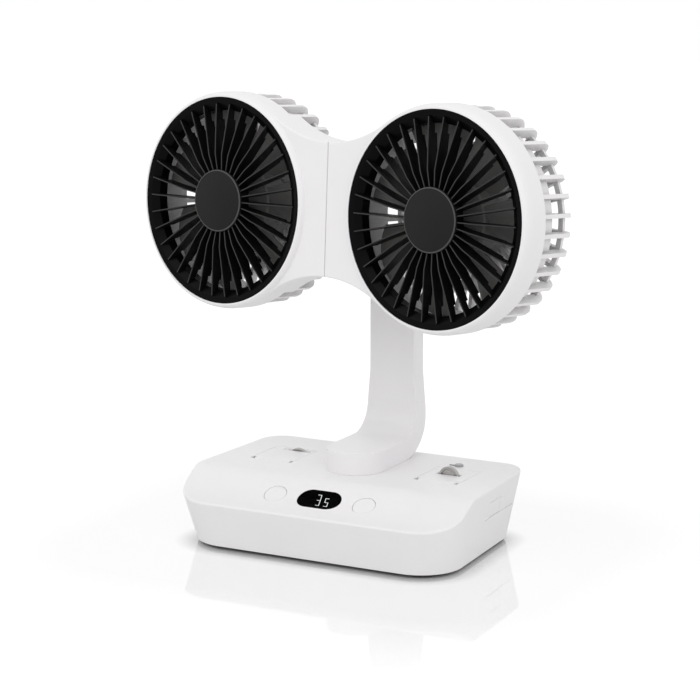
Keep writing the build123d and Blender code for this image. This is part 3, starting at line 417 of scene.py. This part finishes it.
def principled(name, color, roughness, **sockets):
    """Look with one Principled shader whose plain values are set on its own sockets."""
    material = LOOKS[name] = bpy.data.materials.new(name)
    material.use_nodes = True
    shader = material.node_tree.nodes["Principled BSDF"]
    shader.inputs["Base Color"].default_value = (*color, 1)
    shader.inputs["Roughness"].default_value = roughness
    for socket, value in sockets.items():
        shader.inputs[socket.replace("_", " ")].default_value = value
    return material


def noise_over(tree, scale, detail):
    """Output socket of noise in the object's own space."""
    place = add_node(tree, "TexCoord")
    noise = add_node(tree, "TexNoise", {"Scale": scale, "Detail": detail})
    tree.links.new(place.outputs["Object"], noise.inputs["Vector"])
    return noise.outputs["Fac"]


def add_grain(material, strength):
    """Fine moulded texture as a bump from noise."""
    tree = material.node_tree
    bump = add_node(tree, "Bump", {"Strength": strength, "Distance": GRAIN_DEPTH})
    tree.links.new(noise_over(tree, GRAIN_SCALE, GRAIN_DETAIL), bump.inputs["Height"])
    tree.links.new(bump.outputs["Normal"], tree.nodes["Principled BSDF"].inputs["Normal"])


def add_tone(material, colors, roughnesses):
    """Slow change of colour and gloss over the surface, between two of each."""
    tree = material.node_tree
    shader = tree.nodes["Principled BSDF"]
    noise = noise_over(tree, TONE_SCALE, TONE_DETAIL)
    ramp = add_node(tree, "ValToRGB")
    for stop, position, color in zip(ramp.color_ramp.elements, TONE_STOPS, colors):
        stop.position = position
        stop.color = (*color, 1)
    spread = add_node(tree, "MapRange", {"To Min": roughnesses[0], "To Max": roughnesses[1]})
    tree.links.new(noise, ramp.inputs["Fac"])
    tree.links.new(noise, spread.inputs["Value"])
    tree.links.new(ramp.outputs["Color"], shader.inputs["Base Color"])
    tree.links.new(spread.outputs["Result"], shader.inputs["Roughness"])


def paint_shade_in_hollows(material):
    """Painted shade: darkens the colour where faces close by take the light away."""
    tree = material.node_tree
    shader = tree.nodes["Principled BSDF"]
    color = shader.inputs["Base Color"].links[0].from_socket
    cover = add_node(tree, "AmbientOcclusion", {"Distance": HOLLOW_REACH})
    level = add_node(tree, "MapRange", {
        "From Min": HOLLOW_OPENNESS[0], "From Max": HOLLOW_OPENNESS[1], "To Min": HOLLOW_DARKEST})
    shaded = add_node(tree, "VectorMath", operation="SCALE")
    tree.links.new(cover.outputs["AO"], level.inputs["Value"])
    tree.links.new(color, shaded.inputs[0])
    tree.links.new(level.outputs["Result"], shaded.inputs["Scale"])
    tree.links.new(shaded.outputs["Vector"], shader.inputs["Base Color"])


def plastic(name, color, roughness, tone=0.02, grain=0.06, shine=0.5):
    """Look of moulded plastic, with a slow change in tone and a fine grain."""
    low = [c * (1 - tone) for c in color]
    high = [min(1, c * (1 + tone)) for c in color]
    material = principled(name, color, roughness, Specular_IOR_Level=shine)
    add_tone(material, (low, high), (roughness - SMOOTHER, roughness + ROUGHER))
    add_grain(material, grain)
    return material


def make_looks():
    plastic("white_plastic", (0.81, 0.8, 0.808), 0.42, tone=0.008, shine=0.4)
    # Rear cages: white plastic with painted shade between the ribs
    paint_shade_in_hollows(plastic("cage_plastic_painted_shade", (0.8, 0.79, 0.79), 0.45, tone=0.008, shine=0.35))
    plastic("inner_plastic", grey(0.62), 0.55)
    plastic("black_plastic", grey(0.004), 0.4, shine=0.1)
    plastic("rim_black", grey(0.0015), 0.3, shine=0.06)
    # Fin crests: the grille's black plastic painted lighter as a highlight, with more shine
    plastic("fin_crest_painted_highlight", (0.03, 0.03, 0.029), 0.5, shine=0.3)
    plastic("cap_plastic", grey(0.01), 0.6, grain=0.2, shine=0.16)
    # Cap edge: the cap's dark plastic painted lighter as a highlight, with more shine
    plastic("cap_edge_painted_highlight", grey(0.05), 0.4, shine=0.4)
    plastic("blade_plastic", (0.145, 0.142, 0.138), 0.5, shine=0.3)
    principled("display_cover", grey(0.0005), 0.2, Specular_IOR_Level=0.015)
    principled("display_light", (0.5, 0.52, 0.53), 0.4,
               Emission_Color=(0.9, 0.95, 0.95, 1), Emission_Strength=0.25)
    plastic("grey_plastic", grey(0.33), 0.35)
    principled("tab_metal", (0.42, 0.41, 0.4), 0.3, Metallic=1.0)
    principled("steel", (0.55, 0.55, 0.56), 0.32, Metallic=1.0)
    principled("motor_can", grey(0.5), 0.35, Metallic=1.0)
    plastic("board", (0.02, 0.12, 0.05), 0.4)
    plastic("switch_plastic", grey(0.03), 0.5)
    plastic("cell_wrap", (0.04, 0.07, 0.22), 0.3)
    plastic("foot_rubber", grey(0.02), 0.8)


# Pieces of a fan head

def fan_place(side):
    """Frame of a fan: X across, Y up the grille, Z forward, at the middle of the rim."""
    spin = JOINTS[side + "_fan_spin"]
    forward = Vector(spin["axis"])
    across = -Vector(JOINTS[side + "_head_tilt"]["axis"])
    place = Matrix((across, forward.cross(across), forward)).transposed().to_4x4()
    place.translation = Vector(spin["pos_m"])
    return place


def make_fins():
    """Louvres, thin at the crest and thicker behind, with a crown in a lighter colour as a painted highlight."""
    bm = bmesh.new()
    rows = []
    for radius in sorted({radius for radius, height in FIN_CREST + FIN_BACK}):
        crest = value_at(FIN_CREST, radius)
        back = value_at(FIN_BACK, radius)
        section = [
            (-ROOT_HALF, back), (-SHOULDER_HALF, crest - SHOULDER_DROP), (-CROWN_HALF, crest),
            (CROWN_HALF, crest), (SHOULDER_HALF, crest - SHOULDER_DROP), (ROOT_HALF, back),
        ]
        rows.append([bm.verts.new((radius, offset, height)) for offset, height in section])
    for near, far in zip(rows, rows[1:]):
        for index in range(len(near)):
            after = (index + 1) % len(near)
            face = bm.faces.new((near[index], near[after], far[after], far[index]))
            face.material_index = int(index in PAINTED_HIGHLIGHT_SIDES)
    bm.faces.new(rows[0])
    bm.faces.new(reversed(rows[-1]))
    repeat_around(bm, FIN_COUNT)
    return bm


def make_rim():
    bm = bmesh.new()
    lip = quarter_arc((RIM_RADIUS - LIP_RADIUS, RIM_FRONT - LIP_RADIUS), LIP_RADIUS)
    lathe(bm, [(RIM_RADIUS, RIM_BACK)] + lip + RIM_INSIDE, RIM_STEPS)
    return bm


def make_hub():
    bm = bmesh.new()
    profile = [
        (PEG_RADIUS, HUB_BACK), (HUB_RADIUS - HUB_CHAMFER, HUB_BACK),
        (HUB_RADIUS, HUB_BACK + HUB_CHAMFER), (HUB_RADIUS, HUB_FRONT), (PEG_RADIUS, HUB_FRONT),
    ]
    lathe(bm, profile, ROUND_STEPS)
    return bm


def make_cap():
    """Centre cap: a peg and a flat face inside a fine groove, with a rounded edge that shines and is painted
    lighter as a highlight.
    """
    bm = bmesh.new()
    side = [
        (0, PEG_BACK), (PEG_RADIUS, PEG_BACK), (PEG_RADIUS, HUB_FRONT),
        (CAP_RADIUS - CAP_CHAMFER, HUB_FRONT), (CAP_RADIUS, HUB_FRONT + CAP_CHAMFER),
        (CAP_RADIUS, CAP_FRONT - CAP_ROUNDING),
    ]
    edge = quarter_arc((CAP_RADIUS - CAP_ROUNDING, CAP_FRONT - CAP_ROUNDING), CAP_ROUNDING)
    edge.append((CAP_RADIUS - CAP_EDGE_INSET, CAP_FRONT))
    face = [(CAP_RADIUS - inset, CAP_FRONT + height) for inset, height in CAP_GROOVE]
    face.append((0, CAP_FRONT))
    lathe(bm, side, ROUND_STEPS, closed=False)
    # The rounded edge takes the lighter look, a painted highlight
    for edge_face in lathe(bm, edge, ROUND_STEPS, closed=False):
        edge_face.material_index = 1
    lathe(bm, face, ROUND_STEPS, closed=False)
    return bm


def make_head(side):
    grille = side + "_grille"
    cap = side + "_center_cap"
    fin_looks = ["black_plastic", "fin_crest_painted_highlight"]
    cap_looks = ["cap_plastic", "cap_edge_painted_highlight"]
    place = fan_place(side)
    make_piece(grille + "_fins", grille, make_fins(), fin_looks, place, FIN_SHARP)
    make_piece(grille + "_rim", grille, make_rim(), ["rim_black"], place, RIM_SHARP)
    make_piece(grille + "_hub", grille, make_hub(), ["black_plastic"], place, HUB_SHARP)
    make_piece(cap + "_face", cap, make_cap(), cap_looks, place, CAP_SHARP)


make_camera()
make_world()
make_floor()
for lamp in LAMPS:
    make_lamp(*lamp)

make_looks()
for node_name, node in NODES.items():
    node.data.materials.clear()
    node.data.materials.append(LOOKS[look_of(node_name)])

for fan_side in ("left", "right"):
    make_head(fan_side)
for node_name, width in ROUNDED.items():
    rounded_copy(node_name, width)

bpy.context.scene.view_settings.view_transform = "Standard"
